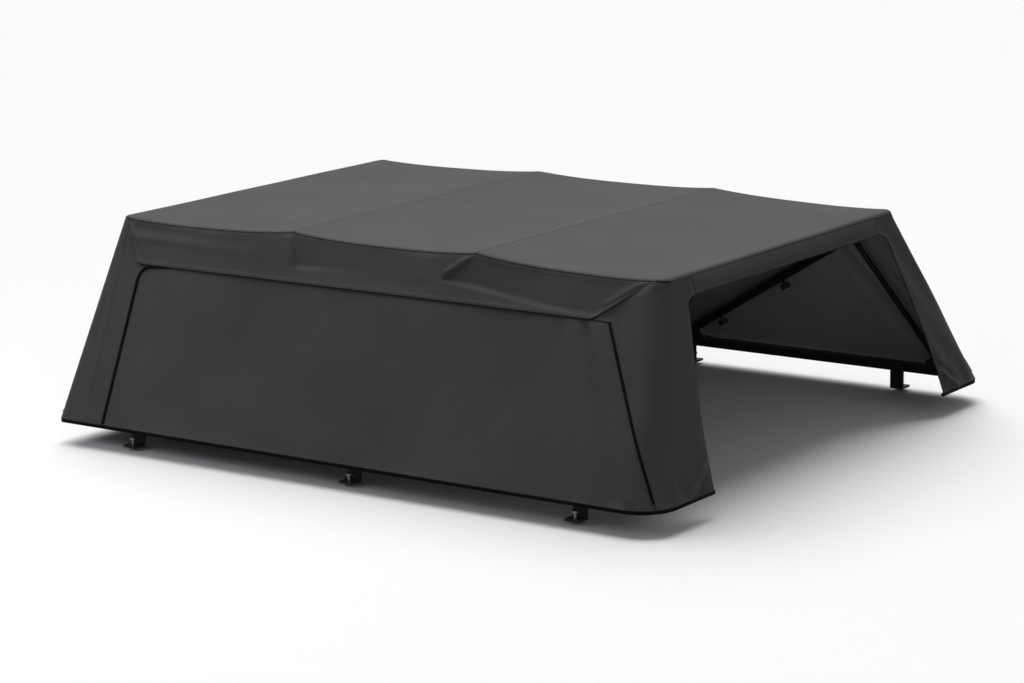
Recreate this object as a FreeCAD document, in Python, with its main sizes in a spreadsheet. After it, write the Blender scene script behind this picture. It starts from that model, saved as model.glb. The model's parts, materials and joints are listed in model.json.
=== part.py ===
"""Soft truck canopy: rails and clamps, three folding bows on common pivots, and the fabric round them.

The canopy stands over the open box of a pickup.  X runs forward to the cab, Y to the left and Z up, in
millimetres, with the middle of the base at X = 0 and Y = 0 and the clamps' lowest point at Z = 0.

Two belt rails and a front rail lie on the box.  A fixed front bow stands on them.  Bow two, bow three and
the rear bow turn about one pivot bolt a side and fold forward; a strut a side holds the rear bow up.
The fabric is cut as a deck and side falls per span, side panels, front pillars, a front panel, rear
corner pieces and a header over the open rear window.
"""

import FreeCAD
import Part
import math
import os

doc = FreeCAD.newDocument("soft_truck_canopy")

# Sizes: heights named ..._z are above the rail seat, stations run from the rear edge of the base
SIZES = (
    # alias, value in mm or degrees, meaning
    ("seat_height", 58, "rail seat above the clamps' lowest point"),
    ("canopy_length", 1872, "rear edge of the base to the front panel"),
    ("base_half", 870, "half of the width over the fabric at the rail seat"),
    ("side_lean", 0.573, "how far the sides lean in per unit of height"),
    ("rear_lean", 0.30, "how far the rear leans forward per unit of height"),
    ("fabric", 3, "fabric thickness with its lining"),
    ("seam_gap", 0.3, "gap between neighbouring pieces"),
    ("sag", 11, "how far the deck hangs between two bows"),
    ("front_z", 510, "deck height at the front bow"),
    ("front_span", 584, "front panel back to bow two"),
    ("two_z", 518, "deck height at bow two"),
    ("three_station", 704, "station of bow three"),
    ("three_z", 516, "deck height at bow three"),
    ("rear_z", 501, "deck height at the rear bow"),
    ("corner_base", 100, "rear corner radius at the base"),
    ("corner_top", 28, "rear corner radius at the deck"),
    ("hem_z", 395, "lower edge of the side falls"),
    ("pillar_depth", 159, "front panel back to the front pillar's rear edge"),
    ("mitre_depth", 100, "front panel back to the mitre seam's lower end"),
    ("mitre_rise", 7, "hem up to the mitre seam's lower end"),
    ("zip_low_station", 80, "rear zip at the base"),
    ("zip_high_station", 271, "rear zip at the top"),
    ("tab_station", 323, "rear end of the side fall's hem"),
    ("fabric_low", 4, "lower edge of the side fabric"),
    ("window_low_side", 267, "base line to the rear opening's edge at the base"),
    ("window_high_side", 350, "base line to the rear opening's edge under its corners"),
    ("window_corner_z", 388, "height where the opening's corners begin"),
    ("window_top_side", 406, "base line to the end of the opening's straight top"),
    ("window_top_z", 447, "top of the rear opening"),
    ("window_corner_wide", 38, "width of the upper facet of the opening's corners"),
    ("window_corner_drop", 16, "height of that facet"),
    ("header_side", 403, "base line to the header's seams"),
    ("tube", 25, "bow tube diameter"),
    ("bend", 70, "bow bend radius at the tube's middle"),
    ("pivot_station", 926, "station of the pivot bolts"),
    ("pivot_z", 46, "height of the pivot bolts"),
    ("leg_inset", 45, "rear bow's leg inside the rails' outer face at the pivot"),
    ("leg_pitch", 32, "from one leg to the next along the pivot bolt"),
    ("boss", 28, "pivot boss diameter"),
    ("boss_width", 20, "pivot boss width"),
    ("pivot_bolt", 10, "pivot bolt diameter"),
    ("cheek_room", 16, "bow three's boss to the bracket's inner cheek"),
    ("rail_inset", 20, "belt rails' outer face inside the base line"),
    ("rail_width", 40, "belt rail width"),
    ("rail_high", 22, "belt rail height"),
    ("rail_rear_station", 90, "rear end of the belt rails"),
    ("channel", 7, "width of the hem channel in the rails' outer face"),
    ("channel_deep", 8, "depth of the hem channel"),
    ("channel_z", 6, "rail seat up to the hem channel"),
    ("rail_front_gap", 6, "front panel back to the rails' front ends"),
    ("front_rail_deep", 40, "front rail depth"),
    ("strut", 16, "strut diameter"),
    ("strut_hinge_along", 750, "strut hinge's distance from the pivot along the arm"),
    ("strut_foot_station", 131, "strut foot station"),
    ("strut_foot_z", 60, "strut foot height"),
    ("strut_inset", 30, "strut's eye inside the arm"),
    ("strut_foot_inset", 52, "strut's foot inside the rails' outer face"),
    ("strut_pin", 8, "strut pin diameter"),
    ("strut_eye_width", 12, "width of the strut's eye"),
    ("knob_near", 139, "first knob's distance from the pivot along the arm"),
    ("knob_far", 424, "second knob's distance from the pivot along the arm"),
    ("knob", 28, "knob diameter"),
    ("knob_high", 15, "knob height"),
    ("knob_stem", 8, "knob stem diameter"),
    ("knob_stand", 8, "bow tube's underside to the knob"),
    ("saddle_long", 22, "length of the saddle's seat and height of its stop"),
    ("saddle_wall", 12, "thickness of the saddle behind its seat"),
    ("saddle_side", 14, "middle of the saddle to its inner end"),
    ("bracket_long", 90, "length of the pivot bracket's base"),
    ("bracket_base", 4, "thickness of the pivot bracket's base"),
    ("cheek", 6, "thickness of the bracket's cheeks"),
    ("cheek_foot", 68, "length of a cheek at its foot"),
    ("cheek_crown", 15, "radius of a cheek's top round the pivot bolt"),
    ("cheek_gap", 6, "rear bow's boss to the bracket's outer cheek"),
    ("foot_plate", 4, "thickness of the front bow's foot plates"),
    ("foot_plate_back", 32, "front bow's foot to the rear edge of its plate"),
    ("clamp_width", 40, "clamp width along the rail"),
    ("clamp_plate", 6, "clamp plate thickness"),
    ("jaw_drop", 50, "rail seat down to the underside of the clamp's jaw"),
    ("jaw_short", 4, "clamp's jaw short of the rail's outer face"),
    ("jaw_bolt", 8, "jaw bolt diameter"),
    ("jaw_pad", 4, "thickness of the jaw pad"),
    ("throat", 25, "rail seat down to the jaw pad"),
    ("clamp_one_station", 250, "rear clamp"),
    ("clamp_three_back", 232, "front panel back to the front clamp"),
)

sheet = doc.addObject("Spreadsheet::Sheet", "Sizes")
for row, (alias, value, meaning) in enumerate(SIZES, start=1):
    sheet.set("A%d" % row, meaning)
    sheet.set("B%d" % row, str(value))
    sheet.setAlias("B%d" % row, alias)
doc.recompute()


def size(alias):
    """The number in the sheet's cell."""
    return float(getattr(sheet, alias))


V = FreeCAD.Vector
BIG = 4000.0
PIN_FIT = 0.3
PRESS_FIT = 0.05
BOW_ROOM = 1.0
seat = size("seat_height")
half_length = size("canopy_length") / 2
nodes = []

# Places that follow from the sizes above
base_half = size("base_half")
canopy_length = size("canopy_length")
two_station = canopy_length - size("front_span")
pillar_station = canopy_length - size("pillar_depth")
mitre_station = canopy_length - size("mitre_depth")
rail_out = base_half - size("rail_inset")
rail_in = rail_out - size("rail_width")
rear_leg_half = rail_out - size("leg_inset")
two_leg_half = rear_leg_half - size("leg_pitch")
three_leg_half = two_leg_half - size("leg_pitch")
window_low_half = base_half - size("window_low_side")
window_high_half = base_half - size("window_high_side")
window_top_half = base_half - size("window_top_side")
header_half = base_half - size("header_side")
strut_foot_half = rail_out - size("strut_foot_inset")
three_station = size("three_station")
rear_deck_station = size("rear_lean") * size("rear_z")
rear_span = three_station - rear_deck_station
sky = max(size(name) for name in ("front_z", "two_z", "three_z", "rear_z")) * 1.25
below = -size("rail_high")


def along(station):
    """Station from the rear edge of the base, as X."""
    return station - half_length


def up(height):
    """Height above the rail seat, as Z."""
    return seat + height


# Helpers for primitives bound to the sheet and for shapes worked out from it
def bind(thing, pairs):
    """Bind the object's properties to expressions of cells; bare aliases are looked up in the sheet."""
    for prop, text in pairs:
        words = []
        for word in text.replace("(", " ( ").replace(")", " ) ").split():
            words.append("Sizes." + word if word[0].isalpha() else word)
        thing.setExpression(prop, " ".join(words))
    return thing


def box(name, long, wide, high, x, y, z):
    """A Part::Box whose lengths and corner follow the sheet."""
    thing = doc.addObject("Part::Box", name)
    return bind(thing, (("Length", long), ("Width", wide), ("Height", high), ("Placement.Base.x", x),
                        ("Placement.Base.y", y), ("Placement.Base.z", z)))


def cylinder(name, radius, high, x, y, z, axis="Z"):
    """A Part::Cylinder that starts at the point and runs along +Z, +Y or -Y."""
    thing = doc.addObject("Part::Cylinder", name)
    turn = {"Z": (V(0, 0, 1), 0), "Y": (V(1, 0, 0), -90), "-Y": (V(1, 0, 0), 90)}[axis]
    thing.Placement = FreeCAD.Placement(V(0, 0, 0), FreeCAD.Rotation(*turn))
    return bind(thing, (("Radius", radius), ("Height", high), ("Placement.Base.x", x),
                        ("Placement.Base.y", y), ("Placement.Base.z", z)))


def keep(thing, label):
    """Name a finished sub-part and put it on the list of nodes."""
    thing.Label = label
    nodes.append(thing)
    return thing


def fuse(label, pieces):
    """A sub-part fused out of primitives."""
    thing = doc.addObject("Part::MultiFuse", label)
    thing.Shapes = pieces
    return keep(thing, label)


def feature(label, shape):
    """A sub-part whose shape is worked out from the sheet."""
    thing = doc.addObject("Part::Feature", label)
    thing.Shape = shape
    thing.Placement = FreeCAD.Placement(V(0, 0, 0), FreeCAD.Rotation())
    return keep(thing, label)


def face_of(edges):
    """A flat face inside a closed run of edges."""
    return Part.Face(Part.Wire(edges))


def polygon(points):
    """A closed run of straight edges through the points."""
    ring = [V(*p) for p in points]
    return [Part.makeLine(a, b) for a, b in zip(ring, ring[1:] + ring[:1])]


def side_on(points, low=-BIG / 2, high=BIG / 2):
    """A prism across the canopy whose outline is given as (X, Z)."""
    return face_of(polygon([(x, low, z) for x, z in points])).extrude(V(0, high - low, 0))


def end_on(points, rear=-BIG / 2, front=BIG / 2):
    """A prism along the canopy whose outline is given as (Y, Z)."""
    return face_of(polygon([(rear, y, z) for y, z in points])).extrude(V(front - rear, 0, 0))


def mirrored(shape):
    """The shape on the other side of the canopy's middle plane."""
    return shape.mirror(V(0, 0, 0), V(0, 1, 0))


def one(shape):
    """The only solid of a boolean's result."""
    solids = shape.Solids
    return solids[0] if len(solids) == 1 else Part.makeCompound(solids)


def both_sides(name, left_shape):
    """A pair of sub-parts, left and right."""
    feature(name + "_left", left_shape)
    feature(name + "_right", mirrored(left_shape))


# Belt rails with a hem channel along the outer face, and the front rail between them
SIDES = (
    # name, sign of Y
    ("left", 1),
    ("right", -1),
)
RAIL_LENGTH = "canopy_length - rail_front_gap - rail_rear_station"
RAIL_START = "rail_rear_station - canopy_length / 2"
for side, sign in SIDES:
    bar_y = "base_half - rail_inset - rail_width" if sign > 0 else "rail_inset - base_half"
    slot_y = "base_half - rail_inset - channel_deep" if sign > 0 else "rail_inset - base_half - 1"
    bar = box("rail_bar_" + side, RAIL_LENGTH, "rail_width", "rail_high", RAIL_START, bar_y, "seat_height")
    slot = box("rail_slot_" + side, RAIL_LENGTH + " + 2", "channel_deep + 1", "channel",
               RAIL_START + " - 1", slot_y, "seat_height + channel_z")
    rail = doc.addObject("Part::Cut", "rail_cut_" + side)
    rail.Base = bar
    rail.Tool = slot
    keep(rail, "rail_" + side)
keep(box("rail_cross", "front_rail_deep", "2 * ( base_half - rail_inset - rail_width - seam_gap )",
         "rail_high", "canopy_length / 2 - rail_front_gap - front_rail_deep",
         "rail_inset + rail_width + seam_gap - base_half", "seat_height"), "rail_front")

# Clamps: a web down the rail's inner face and a jaw out under the flange, with a bolt up through the jaw
CLAMPS = (
    # middle of the clamp, as an expression for X
    "clamp_one_station - canopy_length / 2",
    "pivot_station - canopy_length / 2",
    "canopy_length / 2 - clamp_three_back",
)
INNER = "base_half - rail_inset - rail_width"


def clamp(tag, sign, middle):
    """One clamp: its plate of web and jaw with a hole, and the three pieces of its jaw bolt."""
    x = middle + " - clamp_width / 2"
    web_y = INNER + " - clamp_plate" if sign > 0 else "0 - ( " + INNER + " )"
    jaw_y = INNER + " - clamp_plate" if sign > 0 else "0 - ( " + INNER + " ) - rail_width + jaw_short"
    bolt_y = INNER + " + rail_width / 2" if sign > 0 else "0 - ( " + INNER + " ) - rail_width / 2"
    web = box("clamp_web_" + tag, "clamp_width", "clamp_plate", "rail_high + jaw_drop",
              x, web_y, "seat_height - jaw_drop")
    jaw = box("clamp_jaw_" + tag, "clamp_width", "rail_width + clamp_plate - jaw_short", "clamp_plate",
              x, jaw_y, "seat_height - jaw_drop")
    hole = cylinder("clamp_hole_" + tag, "jaw_bolt / 2 + 0.2", "clamp_plate * 3",
                    middle, bolt_y, "seat_height - jaw_drop - clamp_plate")
    bent = doc.addObject("Part::MultiFuse", "clamp_plate_" + tag)
    bent.Shapes = [web, jaw]
    plate = doc.addObject("Part::Cut", "clamp_cut_" + tag)
    plate.Base = bent
    plate.Tool = hole
    head = cylinder("jaw_head_" + tag, "jaw_bolt", "seat_height - jaw_drop", middle, bolt_y, "0")
    shank = cylinder("jaw_shank_" + tag, "jaw_bolt / 2", "seat_height - throat - jaw_pad / 2 - 1",
                     middle, bolt_y, "1")
    pad = cylinder("jaw_pad_" + tag, "jaw_bolt + 1", "jaw_pad", middle, bolt_y,
                   "seat_height - throat - jaw_pad")
    return plate, [head, shank, pad]


for side, sign in SIDES:
    plates = []
    bolts = []
    for number, middle in enumerate(CLAMPS, start=1):
        plate, bolt_pieces = clamp("%s_%d" % (side, number), sign, middle)
        plates.append(plate)
        bolts += bolt_pieces
    group = doc.addObject("Part::Compound", "clamp_group_" + side)
    group.Links = plates
    keep(group, "clamps_" + side)
    fuse("clamp_bolts_" + side, bolts)


# Bows: round tube along straight runs and tangent bends in the bow's own plane
def bent_tube(points, radius, bend):
    """Round tube through the points, with each inner corner rounded to the bend radius."""
    pts = [V(*p) for p in points]
    edges = []
    start = pts[0]
    for before, corner, after in zip(pts, pts[1:], pts[2:]):
        u = (before - corner).normalize()
        w = (after - corner).normalize()
        angle = math.acos(max(-1.0, min(1.0, u.dot(w))))
        reach = bend / math.tan(angle / 2)
        a = corner + u * reach
        b = corner + w * reach
        mid = corner + (u + w).normalize() * (bend / math.sin(angle / 2) - bend)
        edges.append(Part.makeLine(start, a))
        edges.append(Part.Arc(a, mid, b).toShape())
        start = b
    edges.append(Part.makeLine(start, pts[-1]))
    path = Part.Wire(edges)
    direction = (pts[1] - pts[0]).normalize()
    ring = Part.Wire([Part.makeCircle(radius, pts[0], direction)])
    return path.makePipeShell([ring], True, True)


tube_r = size("tube") / 2
lean = size("side_lean")
lean_stretch = math.hypot(1, lean)
rear_stretch = math.hypot(1, size("rear_lean"))
thick = size("fabric")
gap = size("seam_gap")
inset = thick + gap + tube_r
bow_inset = inset + BOW_ROOM
rail_top = up(size("rail_high"))
pivot = (along(size("pivot_station")), up(size("pivot_z")))


def side_y(height, depth=0.0):
    """Y of the side's plane, or of one that lies the given depth inside it."""
    return base_half - lean * height - depth * lean_stretch


def rod(start, end, radius):
    """A round bar from one point to another."""
    a = V(*start)
    b = V(*end)
    return Part.makeCylinder(radius, (b - a).Length, a, b - a)


def across(x, z, low, high, radius):
    """A round bar across the canopy, at a point of the side view, between two values of Y."""
    return Part.makeCylinder(radius, high - low, V(x, low, z), V(0, 1, 0))


def pivot_boss(y, hole):
    """Eye at the foot of a leg, with its axis along the pivot bolt, and the hole to cut."""
    wide = size("boss_width")
    boss = across(*pivot, y - wide / 2, y + wide / 2, size("boss") / 2)
    return boss, across(*pivot, y - wide * 2, y + wide * 2, hole)


def folding_bow(label, top_x, top_z, leg_half, extra=()):
    """A bow from one pivot boss up its leg, across, and down to the other; extra holes are cut from it."""
    top_half = side_y(top_z, bow_inset)
    z = up(top_z)
    path = ((pivot[0], leg_half, pivot[1]), (top_x, top_half, z), (top_x, -top_half, z),
            (pivot[0], -leg_half, pivot[1]))
    body = bent_tube(path, tube_r, size("bend"))
    holes = list(extra)
    for sign in (1, -1):
        boss, hole = pivot_boss(sign * leg_half, size("pivot_bolt") / 2 + PIN_FIT)
        body = body.fuse(boss)
        holes.append(hole)
    for hole in holes:
        body = body.cut(hole)
    feature(label, one(body.removeSplitter()))


def hang(distance, span):
    """How far the deck hangs below its line this far from a bow."""
    share = distance / span
    return 4 * size("sag") * share * (1 - share)


def front_bow():
    """The fixed front bow: a bent tube cut off at the rails, with a foot plate on each rail."""
    x = half_length - inset
    top = size("front_z") - deck_under - hang(inset, size("front_span"))
    low = 0.0
    top_half = side_y(top, bow_inset)
    low_half = side_y(low, bow_inset)
    tube = bent_tube(((x, low_half, up(low)), (x, top_half, up(top)), (x, -top_half, up(top)),
                      (x, -low_half, up(low))), tube_r, size("bend"))
    body = tube.common(Part.makeBox(BIG, BIG, BIG, V(-BIG / 2, -BIG / 2, rail_top)))
    plate = Part.makeBox(size("foot_plate_back") + tube_r - 1, rail_out - rail_in - 4, size("foot_plate"),
                         V(x - size("foot_plate_back"), rail_in + 2, rail_top))
    return one(body.fuse([plate, mirrored(plate)]).removeSplitter())


deck_under = inset
feature("bow_front", front_bow())

rear_top = size("rear_z") - deck_under - hang(inset, rear_span)
rear_x = along(0) + size("rear_lean") * rear_top + bow_inset * rear_stretch
rear_reach = math.hypot(rear_x - pivot[0], up(rear_top) - pivot[1])
arm = ((rear_x - pivot[0]) / rear_reach, (up(rear_top) - pivot[1]) / rear_reach)
rear_top_half = side_y(rear_top, bow_inset)


def on_arm(distance, off=0.0):
    """(X, half Y, Z) on the rear bow's leg, or the given distance below it square to the leg."""
    share = distance / rear_reach
    y = rear_leg_half + share * (rear_top_half - rear_leg_half)
    return (pivot[0] + arm[0] * distance - arm[1] * off, y, pivot[1] + arm[1] * distance + arm[0] * off)


hinge_x, arm_y, hinge_z = on_arm(size("strut_hinge_along"))
pin_r = size("strut_pin") / 2
stem_r = size("knob_stem") / 2
KNOBS = (size("knob_near"), size("knob_far"))


def on_side(point, sign):
    """The point with its Y on the left or the right."""
    return (point[0], sign * point[1], point[2])


arm_holes = []
for _, sign in SIDES:
    y = sign * arm_y
    arm_holes.append(across(hinge_x, hinge_z, y - BIG / 80, y + BIG / 80, pin_r + PRESS_FIT))
    for distance in KNOBS:
        arm_holes.append(rod(on_side(on_arm(distance), sign),
                             on_side(on_arm(distance, tube_r * 2), sign), stem_r + PRESS_FIT))
folding_bow("bow_two", along(two_station), size("two_z") - deck_under, two_leg_half)
folding_bow("bow_three", along(three_station), size("three_z") - deck_under, three_leg_half)
folding_bow("bow_rear", rear_x, rear_top, rear_leg_half, arm_holes)


def knob(distance, sign):
    """A knob square to the arm's underside, on a stem that is pressed into the tube."""
    head_off = tube_r + size("knob_stand")
    stem = rod(on_side(on_arm(distance, 1.0), sign), on_side(on_arm(distance, head_off + 1.0), sign), stem_r)
    head = rod(on_side(on_arm(distance, head_off), sign),
               on_side(on_arm(distance, head_off + size("knob_high")), sign), size("knob") / 2)
    return one(stem.fuse(head).removeSplitter())


for side, sign in SIDES:
    feature("arm_knobs_" + side, Part.makeCompound([knob(distance, sign) for distance in KNOBS]))

# Struts: rod from an eye inside the arm down to the saddle on the rail, and the pin that carries the eye
strut_r = size("strut") / 2
eye_half = size("strut_eye_width") / 2
hinge_y = arm_y - size("strut_inset")
hinge = V(hinge_x, hinge_y, hinge_z)
foot = V(along(size("strut_foot_station")), strut_foot_half, up(size("strut_foot_z")))
leg = (foot - hinge).normalize()


def strut():
    """The left strut: a rod that starts inside its eye, and the eye's hole."""
    bar = rod(hinge + leg * (strut_r - 1), foot, strut_r)
    eye = across(hinge_x, hinge_z, hinge_y - eye_half, hinge_y + eye_half, strut_r + 3)
    hole = across(hinge_x, hinge_z, hinge_y - eye_half * 4, hinge_y + eye_half * 4, pin_r + PIN_FIT)
    return one(bar.fuse(eye).cut(hole).removeSplitter())


def strut_pin():
    """The left strut's pin: through the arm and the eye, with a head inside the eye."""
    inner = hinge_y - eye_half - PIN_FIT
    pin = across(hinge_x, hinge_z, inner - 1, arm_y + tube_r + 1.5, pin_r)
    return one(pin.fuse(across(hinge_x, hinge_z, inner - 4, inner, pin_r + 3)).removeSplitter())


both_sides("strut", strut())
both_sides("strut_pin", strut_pin())

# What stands on a rail is trimmed to stay inside the leaning fabric
inside_depth = thick + 1.0
inside = end_on([(side_y(below, inside_depth), up(below)), (side_y(sky, inside_depth), up(sky)),
                 (0, up(sky)), (0, up(below))])


def saddle():
    """The left saddle: a block on the rail with a seat square to the strut, and a stop behind the seat."""
    flat = V(leg.x, 0, leg.z).normalize()
    ahead = V(-flat.z, 0, flat.x)
    if ahead.x < 0:
        ahead = ahead * -1
    long = size("saddle_long")
    wall = size("saddle_wall")
    foot_reach = strut_r * math.sqrt(1 - leg.dot(flat) ** 2)
    seat_point = V(foot.x, 0, foot.z) + flat * (foot_reach + gap)
    behind = seat_point - ahead * (strut_r + 0.5)
    far = seat_point + ahead * long
    stop_top = behind - flat * long
    outline = [(far.x, rail_top), (far.x, far.z), (behind.x, behind.z), (stop_top.x, stop_top.z),
               (stop_top.x - wall / 2, stop_top.z), (behind.x - wall, behind.z), (behind.x - wall, rail_top)]
    side = size("saddle_side")
    return one(side_on(outline, strut_foot_half - side, strut_foot_half + 2 * side).common(inside))


both_sides("saddle", saddle())

# Pivot brackets: a base on the rail with an outer and an inner cheek, and the pivot bolt through both
cheek = size("cheek")
outer_y = rear_leg_half + size("boss_width") / 2 + size("cheek_gap")
inner_y = three_leg_half - size("boss_width") / 2 - size("cheek_room")


def cheek_plate(y):
    """A cheek from its inner face outwards: straight sides from the foot up to a crown round the bolt."""
    x, z = pivot
    r = size("cheek_crown")
    half = size("cheek_foot") / 2
    foot_z = rail_top + size("bracket_base") / 2
    drop = z - foot_z
    tangent = math.atan2(half, drop) + math.acos(r / math.hypot(half, drop))
    tx = r * math.sin(tangent)
    tz = -r * math.cos(tangent)
    left = [V(x - half, y, foot_z), V(x - tx, y, z + tz)]
    right = [V(x + tx, y, z + tz), V(x + half, y, foot_z)]
    edges = [Part.makeLine(*left), Part.Arc(left[1], V(x, y, z + r), right[0]).toShape(),
             Part.makeLine(*right), Part.makeLine(right[1], left[0])]
    return face_of(edges).extrude(V(0, cheek, 0))


def pivot_bracket():
    """The left bracket, bored for the pivot bolt."""
    long = size("bracket_long")
    base = Part.makeBox(long, rail_out - 2 - inner_y + cheek, size("bracket_base"),
                        V(pivot[0] - long / 2, inner_y - cheek, rail_top))
    body = base.fuse([cheek_plate(outer_y), cheek_plate(inner_y - cheek)])
    bored = body.cut(across(*pivot, 0, BIG, size("pivot_bolt") / 2 + 0.1))
    return one(bored.common(inside).removeSplitter())


def pivot_bolt():
    """The left bolt: a shank through both cheeks, with a nut inside and a head outside."""
    inner = inner_y - cheek
    outer = outer_y + cheek
    head_r = size("pivot_bolt") * 0.85
    bolt = across(*pivot, inner - 1, outer + 1, size("pivot_bolt") / 2)
    bolt = bolt.fuse([across(*pivot, outer, outer + 6, head_r), across(*pivot, inner - 7, inner, head_r)])
    return one(bolt.removeSplitter())


both_sides("pivot_bracket", pivot_bracket())
both_sides("pivot_bolt", pivot_bolt())


# Fabric
STATIONS = (
    # name, X, deck height
    ("front", half_length, size("front_z")),
    ("two", along(two_station), size("two_z")),
    ("three", along(three_station), size("three_z")),
    ("rear", along(0) + size("rear_lean") * size("rear_z"), size("rear_z")),
)
SPANS = (
    # span, its forward station, its rear station
    ("front", "front", "two"),
    ("middle", "two", "three"),
    ("rear", "three", "rear"),
)
bow_at = {name: (x, z) for name, x, z in STATIONS}
span_ends = {name: (bow_at[ahead], bow_at[behind]) for name, ahead, behind in SPANS}


def deck_arc(span, drop, trim=0.0):
    """Ends and middle of the deck's hanging line over one span, the given distance under its top."""
    (xa, za), (xb, zb) = span_ends[span]
    xa -= trim
    xb += trim
    mid = V((xa + xb) / 2, 0, up((za + zb) / 2 - size("sag") - drop))
    return V(xa, 0, up(za - drop)), mid, V(xb, 0, up(zb - drop))


def under_deck(span, low, drop):
    """Everything below the deck's hanging line over one span, down to a height."""
    a, mid, b = deck_arc(span, drop, gap / 2)
    edges = [Part.Arc(a, mid, b).toShape(), Part.makeLine(b, V(b.x, 0, low)),
             Part.makeLine(V(b.x, 0, low), V(a.x, 0, low)), Part.makeLine(V(a.x, 0, low), a)]
    solid = face_of(edges).extrude(V(0, BIG, 0))
    solid.translate(V(0, -BIG / 2, 0))
    return solid


def trapezoid(depth):
    """The canopy's cross section, the given depth inside the fabric's outer face."""
    return [(side_y(below, depth), up(below)), (side_y(sky, depth), up(sky)),
            (-side_y(sky, depth), up(sky)), (-side_y(below, depth), up(below))]


section = end_on(trapezoid(0))
side_slab = end_on([(side_y(below), up(below)), (side_y(sky), up(sky)),
                    (side_y(sky, thick), up(sky)), (side_y(below, thick), up(below))])


# Shell with rounded rear corners: a loft between the base's and the deck's outlines
def plan(height, depth):
    """The canopy's outline at a height, depth inside the fabric, with rounded rear corners."""
    share = height / size("rear_z")
    radius = size("corner_base") + share * (size("corner_top") - size("corner_base")) - depth
    y = side_y(height, depth)
    x = along(0) + size("rear_lean") * height + depth * rear_stretch
    z = up(height)
    k = radius * (1 - math.sqrt(0.5))
    p = [V(0, y, z), V(x + radius, y, z), V(x + k, y - k, z), V(x, y - radius, z),
         V(x, radius - y, z), V(x + k, k - y, z), V(x + radius, -y, z), V(0, -y, z)]
    return Part.Wire([Part.makeLine(p[0], p[1]), Part.Arc(p[1], p[2], p[3]).toShape(),
                      Part.makeLine(p[3], p[4]), Part.Arc(p[4], p[5], p[6]).toShape(),
                      Part.makeLine(p[6], p[7]), Part.makeLine(p[7], p[0])])


def hull(depth, low, high):
    """The solid inside the fabric's outer face, or inside one that lies deeper, between two heights."""
    return Part.makeLoft([plan(low, depth), plan(high, depth)], True, True)


OVER_DECK = 20.0
fabric_low = size("fabric_low")
shell_top = size("rear_z") + OVER_DECK
rear_shell = hull(0, fabric_low, shell_top).cut(hull(thick, fabric_low - thick, shell_top + thick))


def deck(name):
    """Deck of a span: a hanging sheet between two arcs, trimmed by the sides and the rear corners."""
    a, mid, b = deck_arc(name, 0, gap / 2)
    c, low_mid, d = deck_arc(name, thick, gap / 2)
    if name == "front":
        a.x = half_length
        c.x = half_length
    edges = [Part.Arc(a, mid, b).toShape(), Part.makeLine(b, d), Part.Arc(d, low_mid, c).toShape(),
             Part.makeLine(c, a)]
    sheet_solid = face_of(edges).extrude(V(0, BIG, 0))
    sheet_solid.translate(V(0, -BIG / 2, 0))
    solid = sheet_solid.common(section)
    if name == "rear":
        solid = solid.common(hull(0, size("hem_z"), shell_top))
    return one(solid)


for name, _, _ in SPANS:
    feature("roof_" + name, deck(name))

# Outlines of the side pieces, as (X, Z above the seat)
rear_edge = along(0)
behind_all = rear_edge - size("corner_base")
pillar_x = along(pillar_station)
hem = size("hem_z")
mitre = (along(mitre_station), hem + size("mitre_rise"))
front_in = half_length - thick - gap
tab_x = along(size("tab_station"))
zip_low = (along(size("zip_low_station")), fabric_low)
zip_high = (along(size("zip_high_station")), hem)
rear_peak = (rear_edge + size("rear_lean") * size("rear_z"), size("rear_z"))


def region(points):
    """A prism across the canopy whose outline is given as (X, height above the seat)."""
    return side_on([(x, up(z)) for x, z in points])


peak_z = size("front_z") - thick - 2 * gap
pillar = side_slab.common(region([(pillar_x, fabric_low), (front_in, fabric_low), (front_in, peak_z - gap),
                                  mitre, (pillar_x, hem - gap)]))
both_sides("pillar", one(pillar))

panel = region([(zip_low[0] + gap, fabric_low), (pillar_x - gap, fabric_low), (pillar_x - gap, hem - gap),
                (zip_high[0] + gap, hem - gap)])
both_sides("side_panel", one(side_slab.common(panel)))

fall_rows = (
    # span, outline under the deck
    ("front", [(along(two_station) + gap / 2, hem), (pillar_x, hem), (mitre[0] - gap, mitre[1] + gap),
               (front_in, peak_z + gap), (front_in, sky), (along(two_station) + gap / 2, sky)]),
    ("middle", [(along(three_station) + gap / 2, hem), (along(two_station) - gap / 2, hem),
                (along(two_station) - gap / 2, sky), (along(three_station) + gap / 2, sky)]),
    ("rear", [(tab_x + gap, hem), (along(three_station) - gap / 2, hem),
              (along(three_station) - gap / 2, sky), (rear_peak[0] + gap, sky),
              (rear_peak[0] + gap, rear_peak[1] + gap)]),
)
for name, outline in fall_rows:
    solid = side_slab.common(region(outline)).common(under_deck(name, up(0), thick + gap))
    both_sides("fall_" + name, one(solid))

# Rear corners and header out of the shell, round the open window
window_side = [(window_low_half, below), (window_high_half, size("window_corner_z")),
               (window_top_half + size("window_corner_wide"), size("window_top_z") - size("window_corner_drop")),
               (window_top_half, size("window_top_z"))]
opening = end_on([(y, up(z)) for y, z in window_side] + [(-y, up(z)) for y, z in reversed(window_side)],
                 -BIG / 2, 0)
deck_line = size("rear_z") - thick - gap
corner_region = region([(behind_all, below), (zip_low[0] - gap, below), (zip_low[0] - gap, fabric_low),
                        (zip_high[0] - gap, hem + gap), (tab_x - gap, hem + gap), (rear_peak[0], rear_peak[1]),
                        (rear_peak[0] - 1, sky), (behind_all, sky)])
rear_limit = region([(behind_all, below), (along(three_station), below),
                     (along(three_station), deck_line - thick * 1.5), (rear_edge + BIG / 20, deck_line - gap * 6),
                     (rear_peak[0] + 2, deck_line), (behind_all, deck_line)])
rear_skin = rear_shell.common(corner_region).common(rear_limit).cut(opening)
centre = Part.makeBox(BIG, 2 * header_half, BIG, V(-BIG / 2, -header_half, up(0)))
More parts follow.
